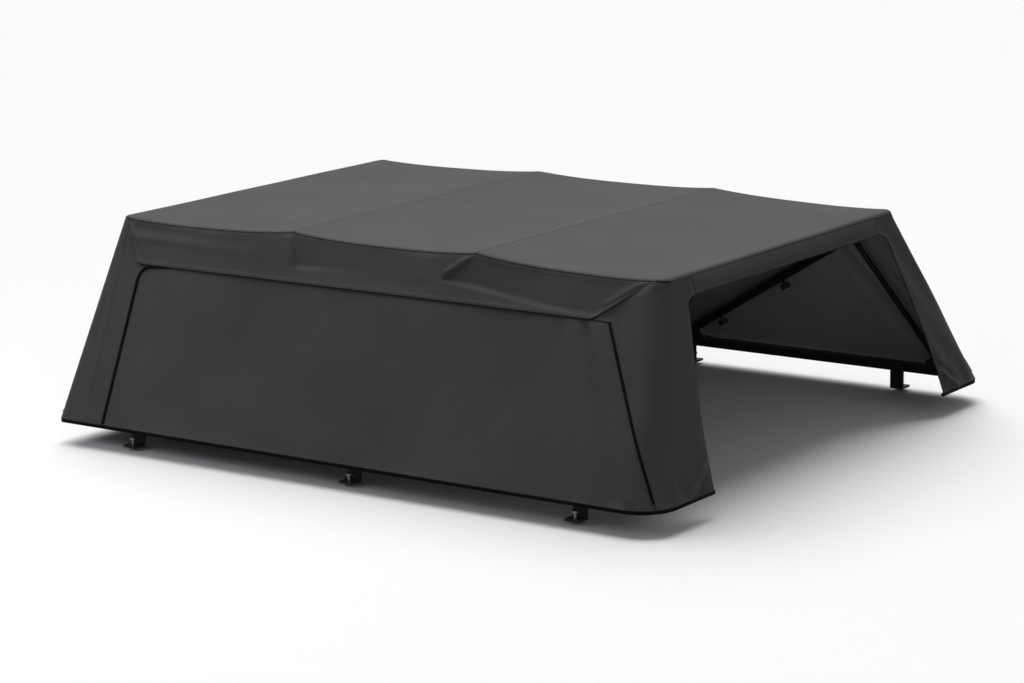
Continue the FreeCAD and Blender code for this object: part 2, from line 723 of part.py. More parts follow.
centre_wide = Part.makeBox(BIG, 2 * header_half + 2 * gap, BIG,
                           V(-BIG / 2, -header_half - gap, up(0)))
header = rear_skin.common(centre)
corner = rear_skin.cut(centre_wide).common(Part.makeBox(BIG, BIG, BIG, V(-BIG / 2, 0, -BIG / 2)))
feature("header", one(header))
both_sides("corner", one(corner))

# Front panel
front_panel = end_on(trapezoid(0), half_length - thick, half_length)
front_panel = front_panel.common(Part.makeBox(BIG, BIG, size("front_z") - thick - gap - fabric_low,
                                              V(-BIG / 2, -BIG / 2, up(fabric_low))))
feature("front_panel", one(front_panel))

# Check and write
doc.recompute()
bad = [thing.Name for thing in doc.Objects if "Invalid" in thing.State or "Error" in thing.State]
for node in nodes:
    if node.Shape.isNull() or not node.Shape.isValid() or not node.Shape.Solids:
        bad.append(node.Label)
if bad:
    raise RuntimeError("not sound: " + ", ".join(bad))
os.makedirs("parts", exist_ok=True)
for node in nodes:
    node.Shape.exportStep("parts/%s.step" % node.Label)
    bounds = node.Shape.BoundBox
    print("%-22s %d solid(s)  X %.2f..%.2f  Y %.2f..%.2f  Z %.2f..%.2f  %.0f cm3" % (
        node.Label, len(node.Shape.Solids), bounds.XMin, bounds.XMax, bounds.YMin, bounds.YMax,
        bounds.ZMin, bounds.ZMax, node.Shape.Volume / 1000))
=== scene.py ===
# %% [markdown]
# # A soft canopy for a pickup's box
#
# The canopy is a tent of charcoal twill over four steel bows.  The frame comes from the CAD model and is
# already in place, with its bows, rails, struts and clamps.  This lesson sews the cloth over it: decks that
# hang a little between the bows, side falls, side panels with zips, front pillars and rear corners.
# Everything is in metres, with X forward to the cab, Y to the left and Z up.

# %% Load the frame
import json
import math

import bpy
import numpy as np
from mathutils import Matrix, Vector


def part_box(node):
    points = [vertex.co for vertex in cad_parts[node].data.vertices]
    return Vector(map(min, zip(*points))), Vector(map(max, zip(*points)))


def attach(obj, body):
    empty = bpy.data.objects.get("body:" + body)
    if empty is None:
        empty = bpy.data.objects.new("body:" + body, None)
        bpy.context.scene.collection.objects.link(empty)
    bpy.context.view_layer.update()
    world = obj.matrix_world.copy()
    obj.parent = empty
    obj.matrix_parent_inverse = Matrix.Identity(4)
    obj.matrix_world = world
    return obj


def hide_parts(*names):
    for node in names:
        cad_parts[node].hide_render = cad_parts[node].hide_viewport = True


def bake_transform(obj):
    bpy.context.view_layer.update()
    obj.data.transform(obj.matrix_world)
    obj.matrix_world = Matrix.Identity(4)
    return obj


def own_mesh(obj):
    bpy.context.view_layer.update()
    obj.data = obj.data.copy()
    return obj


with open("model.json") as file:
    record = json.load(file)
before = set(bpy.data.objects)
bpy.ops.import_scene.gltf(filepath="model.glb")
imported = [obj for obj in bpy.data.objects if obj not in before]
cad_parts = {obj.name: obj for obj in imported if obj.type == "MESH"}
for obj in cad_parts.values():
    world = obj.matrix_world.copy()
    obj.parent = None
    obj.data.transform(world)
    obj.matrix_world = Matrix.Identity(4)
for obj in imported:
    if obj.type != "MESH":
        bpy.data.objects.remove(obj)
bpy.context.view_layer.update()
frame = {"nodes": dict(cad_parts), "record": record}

print("frame loaded:", len(frame["nodes"]), "nodes")

# %% [markdown]
# ## The tent's driving sizes
#
# The CAD solids of the cloth are plain slabs 3 mm thick.  The sewn pieces follow the same planes, so the few
# sizes that place those planes are named here.  Heights are counted from the rail's underside, which is the
# seat on the truck and is read from the frame.

# %% Sizes that all pieces share
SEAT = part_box("rail_left")[0].z
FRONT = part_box("front_panel")[1].x
REAR = -FRONT
BASE_HALF = 0.870
SIDE_LEAN = 0.573
REAR_LEAN = 0.300
HEM = 0.395
CLOTH_LOW = 0.004
STATION = {
    # bow: X and the deck's height over it
    "front": (FRONT, 0.510),
    "two": (REAR + 1.288, 0.518),
    "three": (REAR + 0.704, 0.516),
    "rear": (REAR + 0.1503, 0.501),
}
SPANS = {"front": ("front", "two"), "middle": ("two", "three"), "rear": ("three", "rear")}
SIDES = {"left": 1.0, "right": -1.0}
print("seat at", round(SEAT, 3), "front at", round(FRONT, 3))

# %% [markdown]
# ## From grid to cloth
#
# Each piece of cloth is one surface worked out on a grid.  It could be subdivided from a coarse cage, but a
# computed grid lets every seam lie exactly on its neighbour's.  Rows and columns are crowded near the seams,
# where the sewing shows, and wide in the plain middle.

# %% Steps along a length, and points on a line
def crowded(length, fine=0.0022, coarse=0.014, edge=0.018):
    """Shares from 0 to 1 along a length: fine steps within the edge distance of both ends, coarse between."""
    edge = min(edge, length * 0.2)
    rim = np.linspace(0, edge, max(3, round(edge / fine)))
    count = max(3, round((length - 2 * edge) / coarse) + 1)
    middle = np.linspace(edge, length - edge, count)[1:-1]
    return np.concatenate([rim, middle, length - rim[::-1]]) / length


def along_line(points, share):
    """Points on a broken line at shares of its length, by linear interpolation over the running length."""
    points = np.asarray(points, float)
    run = np.concatenate([[0.0], np.cumsum(np.linalg.norm(np.diff(points, axis=0), axis=1))])
    return np.stack([np.interp(share * run[-1], run, points[:, k]) for k in range(points.shape[1])], axis=-1)


print("steps over a metre of cloth:", len(crowded(1.0)))

# %% [markdown]
# ## A patch between four edges
#
# A cut piece of cloth has four edges, seldom straight.  Blending bottom into top gives one surface, blending
# left into right another, and their sum counts the corners twice.  Less the corners' own blend, it meets all
# four edges.

# %% The patch
def patch(bottom, top, left, right, u, v):
    """A four-sided patch: the blend of bottom and top, plus the blend of left and right, less the corners.

    Each edge is a broken line of (first, second) coordinates; u runs along bottom and top, v up the sides.
    """
    b, t = along_line(bottom, u)[:, None], along_line(top, u)[:, None]
    lf, r = along_line(left, v)[None], along_line(right, v)[None]
    uu, vv = u[:, None, None], v[None, :, None]
    corners = ((1 - uu) * (1 - vv) * b[:1] + uu * (1 - vv) * b[-1:]
               + (1 - uu) * vv * t[:1] + uu * vv * t[-1:])
    return (1 - vv) * b + vv * t + (1 - uu) * lf + uu * r - corners

# %% [markdown]
# ## What a grid can tell
#
# Cloth has thickness, so each point needs the direction square to the surface.  Grooves and stitches follow
# the seams, so each point also keeps its distance from the nearest sewn edge.

# %% Normals, running length and distance from the seams
def grid_normals(points):
    """Unit normals of a grid, the cross product of its two directions."""
    du = np.gradient(points, axis=0)
    dv = np.gradient(points, axis=1)
    n = np.cross(du, dv)
    return n / np.maximum(np.linalg.norm(n, axis=-1, keepdims=True), 1e-12)


def running(points, axis):
    """Length run along a grid's first or second direction: the steps added up, from nought."""
    step = np.linalg.norm(np.diff(points, axis=axis), axis=-1)
    pad = [(0, 0), (0, 0)]
    pad[axis] = (1, 0)
    return np.cumsum(np.pad(step, pad), axis=axis)


def rim_distance(points, seams=(1, 1, 1, 1)):
    """Distance of each grid point from the nearest sewn edge, measured along rows and columns.

    seams flags the four edges in the order first row, last row, first column, last column.
    """
    found = [np.full(points.shape[:2], 1.0)]
    for axis in (0, 1):
        run = running(points, axis)
        total = run[-1:] if axis == 0 else run[:, -1:]
        if seams[2 * axis]:
            found.append(run)
        if seams[2 * axis + 1]:
            found.append(total - run)
    return np.minimum.reduce(found)

# %% [markdown]
# ## Sewing
#
# A solidify modifier could thicken a surface, but it leaves the rim's corners to chance.  Here a second grid
# one cloth thickness inside and a strip round the rim close a thin slab whose faces point outwards.  The UV
# map is the length run along the grid in metres, so the weave keeps its size.

# %% A closed piece from a grid
CLOTH = 0.0020


def linked(name, data):
    """A new object that holds the data, linked into the scene."""
    thing = bpy.data.objects.new(name, data)
    bpy.context.scene.collection.objects.link(thing)
    return thing


def slab_faces(rows, columns):
    """Faces of two stacked grids: the outer face, the inner one turned round, and the rim's strip."""
    index = np.arange(rows * columns).reshape(rows, columns)
    a, b, c, d = index[:-1, :-1], index[1:, :-1], index[1:, 1:], index[:-1, 1:]
    top = np.stack([a, b, c, d], axis=-1).reshape(-1, 4)
    low = top[:, ::-1] + rows * columns
    loop = np.concatenate([index[:, 0], index[-1, 1:], index[-2::-1, -1], index[0, -2:0:-1]])
    ahead = np.roll(loop, -1)
    rim = np.stack([loop, loop + rows * columns, ahead + rows * columns, ahead], axis=-1)
    return top, low, rim


def sew(name, points, outer, inner, seams=(1, 1, 1, 1)):
    """A thin slab from an outer grid, with UV in metres and the distance from a seam as an attribute."""
    inside = points - grid_normals(points) * CLOTH
    co = np.concatenate([points.reshape(-1, 3), inside.reshape(-1, 3)])
    top, low, rim = slab_faces(*points.shape[:2])
    mesh = bpy.data.meshes.new(name)
    mesh.from_pydata(co.tolist(), [], np.concatenate([top, low, rim]).tolist())
    uv = np.tile(np.stack([running(points, 0), running(points, 1)], axis=-1).reshape(-1, 2), (2, 1))
    corner = np.empty(len(mesh.loops), np.int32)
    mesh.loops.foreach_get("vertex_index", corner)
    mesh.uv_layers.new(name="cloth").data.foreach_set("uv", uv[corner].astype(np.float32).ravel())
    edge = np.tile(rim_distance(points, seams).ravel(), 2).astype(np.float32)
    mesh.attributes.new("edge", "FLOAT", "POINT").data.foreach_set("value", edge)
    mesh.materials.append(outer)
    mesh.materials.append(inner)
    slots = np.concatenate([np.zeros(len(top)), np.ones(len(low)), np.zeros(len(rim))]).astype(np.int32)
    mesh.polygons.foreach_set("material_index", slots)
    mesh.polygons.foreach_set("use_smooth", slots < 2)
    mesh.update()
    piece = linked(name, mesh)
    return piece


def declare(points):
    """Work out how large the cloth was cut: its longest runs along and across the grid, rounded up to a
    millimetre.
    """
    width = float(np.linalg.norm(np.diff(points, axis=0), axis=-1).sum(axis=0).max())
    length = float(np.linalg.norm(np.diff(points, axis=1), axis=-1).sum(axis=1).max())
    width, length = math.ceil(width * 1000) / 1000, math.ceil(length * 1000) / 1000

# %% [markdown]
# ## Finishes
#
# Materials are built from nodes, and the same few steps come back: a noise, a ramp of colours, a mix.  A
# short helper adds a node with its settings and links.  A setting such as in_2 is the node's input number 2,
# which for a noise is its scale, before its detail and its roughness.

# %% Helpers for materials
def new_material(name):
    """An empty node material with its shader, and a short way to add and link nodes."""
    material = bpy.data.materials.new(name)
    material.use_nodes = True
    tree = material.node_tree
    shader = tree.nodes["Principled BSDF"]

    def add(kind, links=(), **settings):
        node = tree.nodes.new(kind)
        for key, value in settings.items():
            if key.startswith("in_"):
                node.inputs[int(key[3:])].default_value = value
            else:
                setattr(node, key, value)
        for number, socket in links:
            tree.links.new(socket, node.inputs[number])
        return node

    return material, tree, shader, add


def ramp_between(add, value, stops):
    """A colour ramp fed by a value, with (position, grey or colour) stops."""
    node = add("ShaderNodeValToRGB", links=[(0, value)])
    elements = node.color_ramp.elements
    while len(elements) < len(stops):
        elements.new(0.5)
    for element, (place, colour) in zip(elements, stops):
        element.position = place
        element.color = (*colour, 1.0) if isinstance(colour, tuple) else (colour, colour, colour, 1.0)
    return node.outputs[0]


def maths(add, operation, *values, clamp=False):
    """Outcome of a maths node; each value is a socket or a number, in the order of the node's inputs."""
    fixed = {f"in_{n}": value for n, value in enumerate(values) if isinstance(value, float)}
    fed = [(n, value) for n, value in enumerate(values) if not isinstance(value, float)]
    return add("ShaderNodeMath", links=fed, operation=operation, use_clamp=clamp, **fixed).outputs[0]


def band(add, value, centre, half_width):
    """1 near a centre value and 0 beyond the half width: 1 - |value - centre| / half width, not below 0."""
    off = maths(add, "ABSOLUTE", maths(add, "SUBTRACT", value, centre))
    return maths(add, "SUBTRACT", 1.0, maths(add, "DIVIDE", off, half_width), clamp=True)


def mixed(tree, add, factor, one, other):
    """Colour between one and the other by a factor; each of the two is a socket or a fixed colour."""
    node = add("ShaderNodeMix", data_type="RGBA", blend_type="MIX")
    tree.links.new(factor, node.inputs["Factor"])
    for name, value in (("A", one), ("B", other)):
        if isinstance(value, tuple):
            node.inputs[name].default_value = value
        else:
            tree.links.new(value, node.inputs[name])
    return node.outputs["Result"]

# %% [markdown]
# ## Woven cover and its backing
#
# The cover is a matte acrylic twill.  Its weave is too fine for a mesh, so it is a diagonal wave on the
# cloth's own UV map.  A slow noise makes the dye uneven.  The distance from a seam sinks the seam's groove
# and paints shade into it, which also gives the painted shadow under a hem, and it draws two rows of
# stitches.  A little sheen gives the dusty edge of cloth.

# %% Twill
SEAM_GROOVE = 0.0032
# painted shade: at a seam's groove and a hem's lower edge the colour is this share of the dark dye
GROOVE_SHADE = 0.12
STITCH_ROWS = (0.0055, 0.0115)
STITCH_HALF = 0.0009
STITCH_BANDS = 110.0
WEAVE_BANDS = 420.0


def twill(name, dark, light, thread, sheen):
    """Woven cover: diagonal wave for the twill, noise for the dye, a groove with painted shade and thread by
    the seams.
    """
    material, tree, shader, add = new_material(name)
    uv = add("ShaderNodeUVMap", uv_map="cloth").outputs[0]
    coord = add("ShaderNodeTexCoord").outputs["Object"]
    cloudy = add("ShaderNodeTexNoise", links=[(0, coord)], in_2=3.2, in_3=6.0, in_4=0.6)
    speck = add("ShaderNodeTexNoise", links=[(0, uv)], in_2=900.0, in_3=2.0)
    dye = maths(add, "MULTIPLY_ADD", speck.outputs[0], 0.35, cloudy.outputs[0])
    colour = ramp_between(add, dye, [(0.42, dark), (0.92, light)])
    edge = add("ShaderNodeAttribute", attribute_name="edge").outputs["Fac"]
    # painted shade: near every sewn edge the colour goes almost black, for the shade in the groove and under
    # a hem; the same band sinks the bump
    groove = band(add, edge, 0.0, SEAM_GROOVE)
    groove_shaded = mixed(tree, add, groove, colour, (*(c * GROOVE_SHADE for c in dark), 1))
    rows = maths(add, "MAXIMUM", *(band(add, edge, row, STITCH_HALF) for row in STITCH_ROWS))
    dashes = add("ShaderNodeTexWave", links=[(0, uv)], wave_type="BANDS", bands_direction="DIAGONAL",
                 in_1=STITCH_BANDS)
    stitched = maths(add, "MULTIPLY", rows, dashes.outputs["Fac"])
    threaded = mixed(tree, add, stitched, groove_shaded, (*thread, 1))
    tree.links.new(threaded, shader.inputs["Base Color"])
    weave = add("ShaderNodeTexWave", links=[(0, uv)], wave_type="BANDS", bands_direction="DIAGONAL",
                in_1=WEAVE_BANDS, in_2=1.5, in_3=1.0)
    lumps = add("ShaderNodeTexNoise", links=[(0, coord)], in_2=26.0, in_3=4.0)
    height = maths(add, "MULTIPLY_ADD", weave.outputs["Fac"], 0.25, lumps.outputs[0])
    raised = maths(add, "SUBTRACT", height, groove)
    bump = add("ShaderNodeBump", links=[(3, raised)], in_0=0.35, in_1=0.0012)
    tree.links.new(bump.outputs[0], shader.inputs["Normal"])
    shader.inputs["Roughness"].default_value = 0.88
    shader.inputs["Specular IOR Level"].default_value = 0.25
    shader.inputs["Sheen Weight"].default_value = sheen
    shader.inputs["Sheen Roughness"].default_value = 0.55
    return material


cover = twill("charcoal_twill", (0.062, 0.060, 0.064), (0.082, 0.079, 0.085), (0.115, 0.112, 0.117), 0.07)
lining = twill("grey_backing", (0.46, 0.465, 0.485), (0.54, 0.545, 0.565), (0.30, 0.30, 0.30), 0.05)
print("cloths:", cover.name, "and", lining.name)

# %% [markdown]
# ## Coated metal, plastic and rubber
#
# Tubes are powder coated, rails and clamps thinly blackened, and bolts zinc plated.  All are one recipe with
# other numbers: a fine noise roughens the gloss and the height, a slow one shifts the tone.

# %% Hard finishes, and which slot of the record wears which
def coated(name, colour, roughness, metallic, grain, depth, specular):
    """Painted, moulded or plated surface: fine noise in the roughness, the tone and the height."""
    material, tree, shader, add = new_material(name)
    coord = add("ShaderNodeTexCoord").outputs["Object"]
    fine = add("ShaderNodeTexNoise", links=[(0, coord)], in_2=grain, in_3=4.0)
    slow = add("ShaderNodeTexNoise", links=[(0, coord)], in_2=9.0, in_3=3.0)
    low = tuple(c * 0.82 for c in colour)
    high = tuple(min(1.0, c * 1.2) for c in colour)
    tree.links.new(ramp_between(add, slow.outputs[0], [(0.3, low), (0.7, high)]), shader.inputs["Base Color"])
    tree.links.new(ramp_between(add, fine.outputs[0], [(0.3, roughness * 0.85), (0.7, roughness * 1.12)]),
                   shader.inputs["Roughness"])
    bump = add("ShaderNodeBump", links=[(3, fine.outputs[0])], in_0=depth, in_1=0.0006)
    tree.links.new(bump.outputs[0], shader.inputs["Normal"])
    shader.inputs["Metallic"].default_value = metallic
    shader.inputs["Specular IOR Level"].default_value = specular
    return material


COATINGS = {
    # slot or use: name, colour, roughness, metallic, grain of the fine noise, bump, specular level
    "coated_tube": ("black_powder_coat", (0.016, 0.016, 0.017), 0.42, 0.0, 700.0, 0.25, 0.5),
    "rail_aluminium": ("black_rail_finish", (0.022, 0.022, 0.023), 0.5, 0.0, 500.0, 0.15, 0.5),
    "clamp_aluminium": ("clamp_finish", (0.030, 0.030, 0.031), 0.45, 0.0, 500.0, 0.15, 0.5),
    "zinc_steel": ("zinc_plate", (0.60, 0.60, 0.61), 0.32, 1.0, 240.0, 0.12, 0.5),
    "black_plastic": ("knob_plastic", (0.020, 0.020, 0.021), 0.55, 0.0, 380.0, 0.3, 0.5),
    "seal": ("seal_rubber", (0.005, 0.005, 0.005), 0.75, 0.0, 300.0, 0.2, 0.15),
    "zip": ("zip_black", (0.004, 0.004, 0.0045), 0.7, 0.0, 300.0, 0.15, 0.12),
}
finishes = {use: coated(*row) for use, row in COATINGS.items()}
for row in frame["record"]["subparts"]:
    if row["material_slot"] in finishes:
        worn = frame["nodes"][row["node"]].data.materials
        worn.clear()
        worn.append(finishes[row["material_slot"]])
print("finishes made:", len(finishes))

# %% [markdown]
# ## Where the cloth lies
#
# The deck's line over a span is straight from bow to bow less a sag that is flat in the middle and steep at
# the bows, because the cloth is pulled tight over the tube.  The sides lean in as they rise.

# %% The deck's line and the side's plane
SAG = 0.0105
SAG_POWER = 2.6
lean_length = math.hypot(1.0, SIDE_LEAN)


def deck_height(x, span):
    """Height over the seat: the line between two bows, less the sag times 1 - |2t - 1| to the sag's power."""
    (xa, za), (xb, zb) = STATION[SPANS[span][0]], STATION[SPANS[span][1]]
    t = np.clip((x - xa) / (xb - xa), 0, 1)
    return za + (zb - za) * t - SAG * (1 - np.abs(2 * t - 1) ** SAG_POWER)


def any_deck_height(x):
    """The deck's height at any X, by the span that X lies in."""
    height = np.full(np.shape(x), STATION["rear"][1])
    for span, (ahead, behind) in SPANS.items():
        inside = (x <= STATION[ahead][0] + 1e-9) & (x >= STATION[behind][0] - 1e-9)
        height = np.where(inside, deck_height(x, span), height)
    return height


def on_side(x, z, out, sign):
    """Points on the leaning side: Y falls with height, moved out square to the cloth."""
    y = BASE_HALF - SIDE_LEAN * z + out / lean_length
    return np.stack([x + 0 * z, sign * y, SEAT + z + out * SIDE_LEAN / lean_length], axis=-1)


print("deck's lowest height over the seat:", round(float(any_deck_height(np.linspace(REAR, FRONT)).min()), 3))

# %% [markdown]
# ## Slack, creases and pockets
#
# Cloth pulled over bows is never flat: it ripples where it is slack, creases from one fixing to the next, and
# sinks in behind a bow's end.  A simulation would put such folds anywhere; sines, bells and slopes put them
# where the photograph shows them.

# %% How far the side's cloth stands out
FOLD_STEP = 0.012
POCKETS = [
    # top and tip of the crease in (X, Z), slope of the fold behind the tip, depth, reach
    ((0.357, 0.510), (0.320, 0.440), -0.02, 0.0095, 0.12),
    ((-0.230, 0.510), (-0.157, 0.453), 0.108, 0.0105, 0.60),
]
SIDE_CREASES = [
    # start and end in (X, Z), width, height, fade
    ((0.88, 0.462), (0.40, 0.450), 0.011, 0.0026, 0.9),
    ((0.86, 0.484), (0.42, 0.476), 0.014, -0.0024, 0.9),
    ((0.905, 0.492), (0.800, 0.412), 0.007, 0.0036, 0.5),
    ((0.925, 0.478), (0.835, 0.385), 0.008, -0.0034, 0.5),
    ((-0.750, 0.500), (-0.640, 0.432), 0.009, 0.0045, 0.4),
    ((-0.10, 0.425), (0.28, 0.430), 0.014, -0.0018, 0.4),
]


def ripple(x, z):
    """Slack in stretched cloth: four long sine waves at odd angles, a millimetre or two high."""
    return 0.0009 * (np.sin(9.1 * x + 4.3 * z + 0.4) + 0.7 * np.sin(15.7 * x - 11.0 * z + 1.9)
                     + 0.45 * np.sin(27.0 * x + 19.0 * z + 0.7) + 0.35 * np.sin(5.0 * x - 33.0 * z + 2.6))


def ridge(x, z, start, end, width, height, fade):
    """A rounded crease: a bell of the distance to a segment, lower towards the segment's end by fade."""
    s, e = np.array(start), np.array(end)
    d = e - s
    length2 = float(d @ d)
    t = np.clip(((x - s[0]) * d[0] + (z - s[1]) * d[1]) / length2, 0, 1)
    gap2 = (x - s[0] - t * d[0]) ** 2 + (z - s[1] - t * d[1]) ** 2
    return height * (1 - fade * t) * np.exp(-gap2 / width ** 2)


def pocket(x, z, top, tip, floor_slope, depth, reach):
    """The pull at a bow's end: a slack pocket behind a crease, above a fold that starts at the crease's tip.

    Going down from the shoulder it sinks in evenly, to the depth at the fold, and comes out again just below;
    it fades behind the crease by 1/e over the reach.  A small bell of the distance makes the crease's rim.
    """
    behind = top[0] + (tip[0] - top[0]) * (top[1] - z) / (top[1] - tip[1]) - x
    floor = tip[1] + floor_slope * (x - tip[0])
    step = np.clip(behind / FOLD_STEP, 0, 1)
    hang = np.clip((top[1] - z) / (top[1] - floor), 0, 1) * np.clip(1 + (z - floor) / FOLD_STEP, 0, 1)
    sunk = depth * step ** 2 * (3 - 2 * step) * hang * np.exp(-np.clip(behind, 0, None) / reach)
    bell = np.exp(-((behind + 0.5 * FOLD_STEP) / FOLD_STEP) ** 2)
    return 0.3 * depth * bell * np.clip((z - floor) / FOLD_STEP, 0, 1) - sunk


def side_relief(x, z):
    """How the side's cloth stands out: slack, the pull at the bow ends, and creases at both ends."""
    out = ripple(x, z)
    for row in POCKETS:
        out += pocket(x, z, *row)
    for row in SIDE_CREASES:
        out += ridge(x, z, *row)
    return out


print("pocket behind bow three:", round(float(side_relief(np.array(-0.25), np.array(0.46))), 4))

# %% [markdown]
# ## Round the corners
#
# The tent's upright corners are rounded, wide at the rear's foot and tight at the deck.  A piece that wraps a
# corner is laid out flat first, by the run round the canopy, nought where the corner's arc starts, and the
# height.  Wrapping it afterwards keeps straight seams straight on the cloth.

# %% The wrapped tent
SHOULDER_R = 0.013
ENDS = {
    # end: X of its face at the base, lean of the face, direction along X, corner radius at base and deck
    "rear": (REAR, REAR_LEAN, -1.0, 0.100, 0.030),
    "front": (FRONT - 0.0004, 0.0, 1.0, 0.024, 0.026),
}
shoulder_turn = math.atan(1.0 / SIDE_LEAN)
shoulder_drop = SHOULDER_R * (1 - math.cos(shoulder_turn))


def corner_radius(z, end):
    """Radius of an upright corner, in a straight line from the base to the deck."""
    low, high = ENDS[end][3:]
    return low + (high - low) * np.clip(z / STATION["rear"][1], 0, 1)


def wrap(s, z, out, sign, end="rear"):
    """Point on the tent at run s round a corner and height z: side line, quarter arc, then the end's line."""
    face, lean, way = ENDS[end][:3]
    r = corner_radius(z, end)
    arc = r * math.pi / 2
    angle = np.clip(s / arc, 0, 1) * math.pi / 2
    x_face = face - way * lean * z
    x = x_face + way * (r * np.sin(angle) - r - np.clip(-s, 0, None))
    y = BASE_HALF - SIDE_LEAN * z - r + r * np.cos(angle) - np.clip(s - arc, 0, None)
    nx, ny = way * np.sin(angle), np.cos(angle)
    rise = ny * SIDE_LEAN / lean_length + np.sin(angle) * lean
    return np.stack([x + nx * out, sign * (y + ny * out), SEAT + z + rise * out], axis=-1)


def rim_turn(angle, end):
    """How far the cloth turns down at the rim: from the side's lean to the end's lean round the corner."""
    end_turn = math.pi / 2 - math.atan(ENDS[end][1])
    return shoulder_turn + (end_turn - shoulder_turn) * angle / (math.pi / 2)


def rim_height(angle, end):
    """Height of the rolled rim at an end: the bow's height less R (1 - cos turn)."""
    return STATION[end][1] - SHOULDER_R * (1 - np.cos(rim_turn(angle, end)))


def rear_map(x, z):
    """Side point to (run, height) at the rear corner: minus its distance ahead of the arc."""
    return (float(REAR + REAR_LEAN * z + corner_radius(z, "rear") - x), float(z))


def rear_x(s, z):
    """X of the side's plane at a run ahead of the rear corner, the other way round."""
    return REAR + REAR_LEAN * z + corner_radius(z, "rear") - s


def face_map(y, z):
    """Rear face point to (run, height): the arc, then the distance from its end towards the middle."""
    r = corner_radius(z, "rear")
    return (float(r * math.pi / 2 + (BASE_HALF - SIDE_LEAN * z - r) - y), float(z))


print("rear corner's radius at the hem:", round(float(corner_radius(HEM, "rear")), 4))

# %% [markdown]
# ## Decks
#
# Each deck runs from bow to bow and rolls over the shoulder on a small radius, so the shoulder seam lies just
# below the edge, as on the real cover.  The roll is a profile across the canopy: flat, then an arc that turns
# down until it lies in the side's plane.  Each deck sags between the two bows at its ends.

# %% The decks' grids
ARC_POINTS = 13
DECK_WIDTH = 1.17
SWAY = 0.0014


def deck_rows(span):
    """Rows along X as (X, half width): even between bows, and by the corner's arc at a free end."""
    ahead, behind = SPANS[span]
    x = {end: STATION[end][0] for end in (ahead, behind)}
    arcs = {}
    for end in ENDS:
        if end in (ahead, behind):
            angle = np.linspace(0, math.pi / 2, ARC_POINTS)
            z = rim_height(angle, end)
            rim = wrap(corner_radius(z, end) * angle, z, 0 * angle, 1.0, end)
            arcs[end] = rim[:, :2]
            x[end] = rim[0, 0]
    run = x[behind] + (x[ahead] - x[behind]) * crowded(x[ahead] - x[behind], edge=0.024)
    half = BASE_HALF - SIDE_LEAN * (any_deck_height(run) - shoulder_drop)
    rows = np.stack([run, half], axis=-1)
    if "rear" in arcs:
        rows = np.concatenate([arcs["rear"][:0:-1], rows])
    if "front" in arcs:
        rows = np.concatenate([rows, arcs["front"][1:]])
    return rows


def deck_grid(span):
    """Deck of a span: the bow line's height less the rolled rim, R (1 - cos a) with sin a = (E - q) / R.

    q is the distance from the outline, E the rim's reach R sin(turn); both go round the free corners.
    """
    rows = deck_rows(span)
    share = crowded(DECK_WIDTH, fine=0.0020, coarse=0.016, edge=0.020) * 2 - 1
    x, half = rows[:, :1], rows[:, 1:]
    y = half * share[None]
    z = any_deck_height(x)
    side_half = BASE_HALF - SIDE_LEAN * (z - shoulder_drop)
    gap = side_half - np.abs(y)
    angle = 0 * y
    for end in ENDS:
        if end in SPANS[span]:
            way = ENDS[end][2]
            r = corner_radius(rim_height(math.pi / 2, end), end)
            x_end = rows[-1 if way > 0 else 0, 0]
            beyond = np.clip(way * (x - x_end) + r, 0, None)
            outer = np.clip(np.abs(y) - half.min(), 0, None)
            near = beyond > 0
            corner_gap = np.where(outer > 0, r - np.hypot(beyond, outer), r - beyond)
            gap = np.where(near, np.minimum(np.maximum(corner_gap, 0), np.where(outer > 0, 1.0, gap)), gap)
            angle = np.where(near, np.where(outer > 0, np.arctan2(beyond, outer),
                                            np.where(r - beyond < gap + 1e-9, math.pi / 2, 0)), angle)
    turn = rim_turn(angle, "rear" if "rear" in SPANS[span] else "front")
    bend = np.arcsin(np.clip(np.sin(turn) - np.clip(gap, 0, None) / SHOULDER_R, 0, 1))
    slack = np.cos(share[None] * math.pi / 2) ** 0.5 * np.sin(math.pi * np.linspace(0, 1, len(rows)))[:, None]
    sway = SWAY * slack * (np.sin(7.0 * y + 3.0 * x) + 0.6 * np.sin(13.0 * y - 8.0 * x + 1.0))
    return np.stack([x + 0 * y, y, SEAT + z - SHOULDER_R * (1 - np.cos(bend)) + sway], axis=-1)

# %% Decks over the three spans
for span, (ahead, behind) in SPANS.items():
    points = deck_grid(span)
    piece = sew("deck_" + span, points, cover, lining)
    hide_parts("roof_" + span)
    declare(points)
    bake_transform(piece)

# %% [markdown]
# ## Side falls
#
# Below the shoulder seam a strip of cloth falls to a hem that laps over the side panel.  The strip is a
# four-sided patch in the side's plane: hem below, shoulder line above.  In front it ends on a mitre seam, and
# behind on a slanting seam to the deck's rear corner.  Folds die out near the seams, where thread holds them.

# %% The falls' outlines
PILLAR_X = REAR + 1.713
PILLAR_TOP = REAR + 1.752
MITRE = (REAR + 1.772, 0.402)
TAB = (REAR + 0.323, HEM)
FALL_EDGE = {
    # span: (X, Z) corners of the lower edge, from behind to ahead
    "front": [(STATION["two"][0], HEM), (PILLAR_TOP, HEM), MITRE],
    "middle": [(STATION["three"][0], HEM), (STATION["two"][0], HEM)],
    "rear": [TAB, (STATION["three"][0], HEM)],
}
peak_x = ENDS["front"][0] - corner_radius(0.5, "front")
tail_x = REAR + REAR_LEAN * rim_height(0.0, "rear") + corner_radius(rim_height(0.0, "rear"), "rear")
FALL_TOP = {
    # span: X of the upper edge's ends, from behind to ahead
    "front": (STATION["two"][0], peak_x),
    "middle": (STATION["three"][0], STATION["two"][0]),
    "rear": (tail_x, STATION["three"][0]),
}
print("falls' upper edge from", round(float(tail_x), 3), "to", round(float(peak_x), 3))

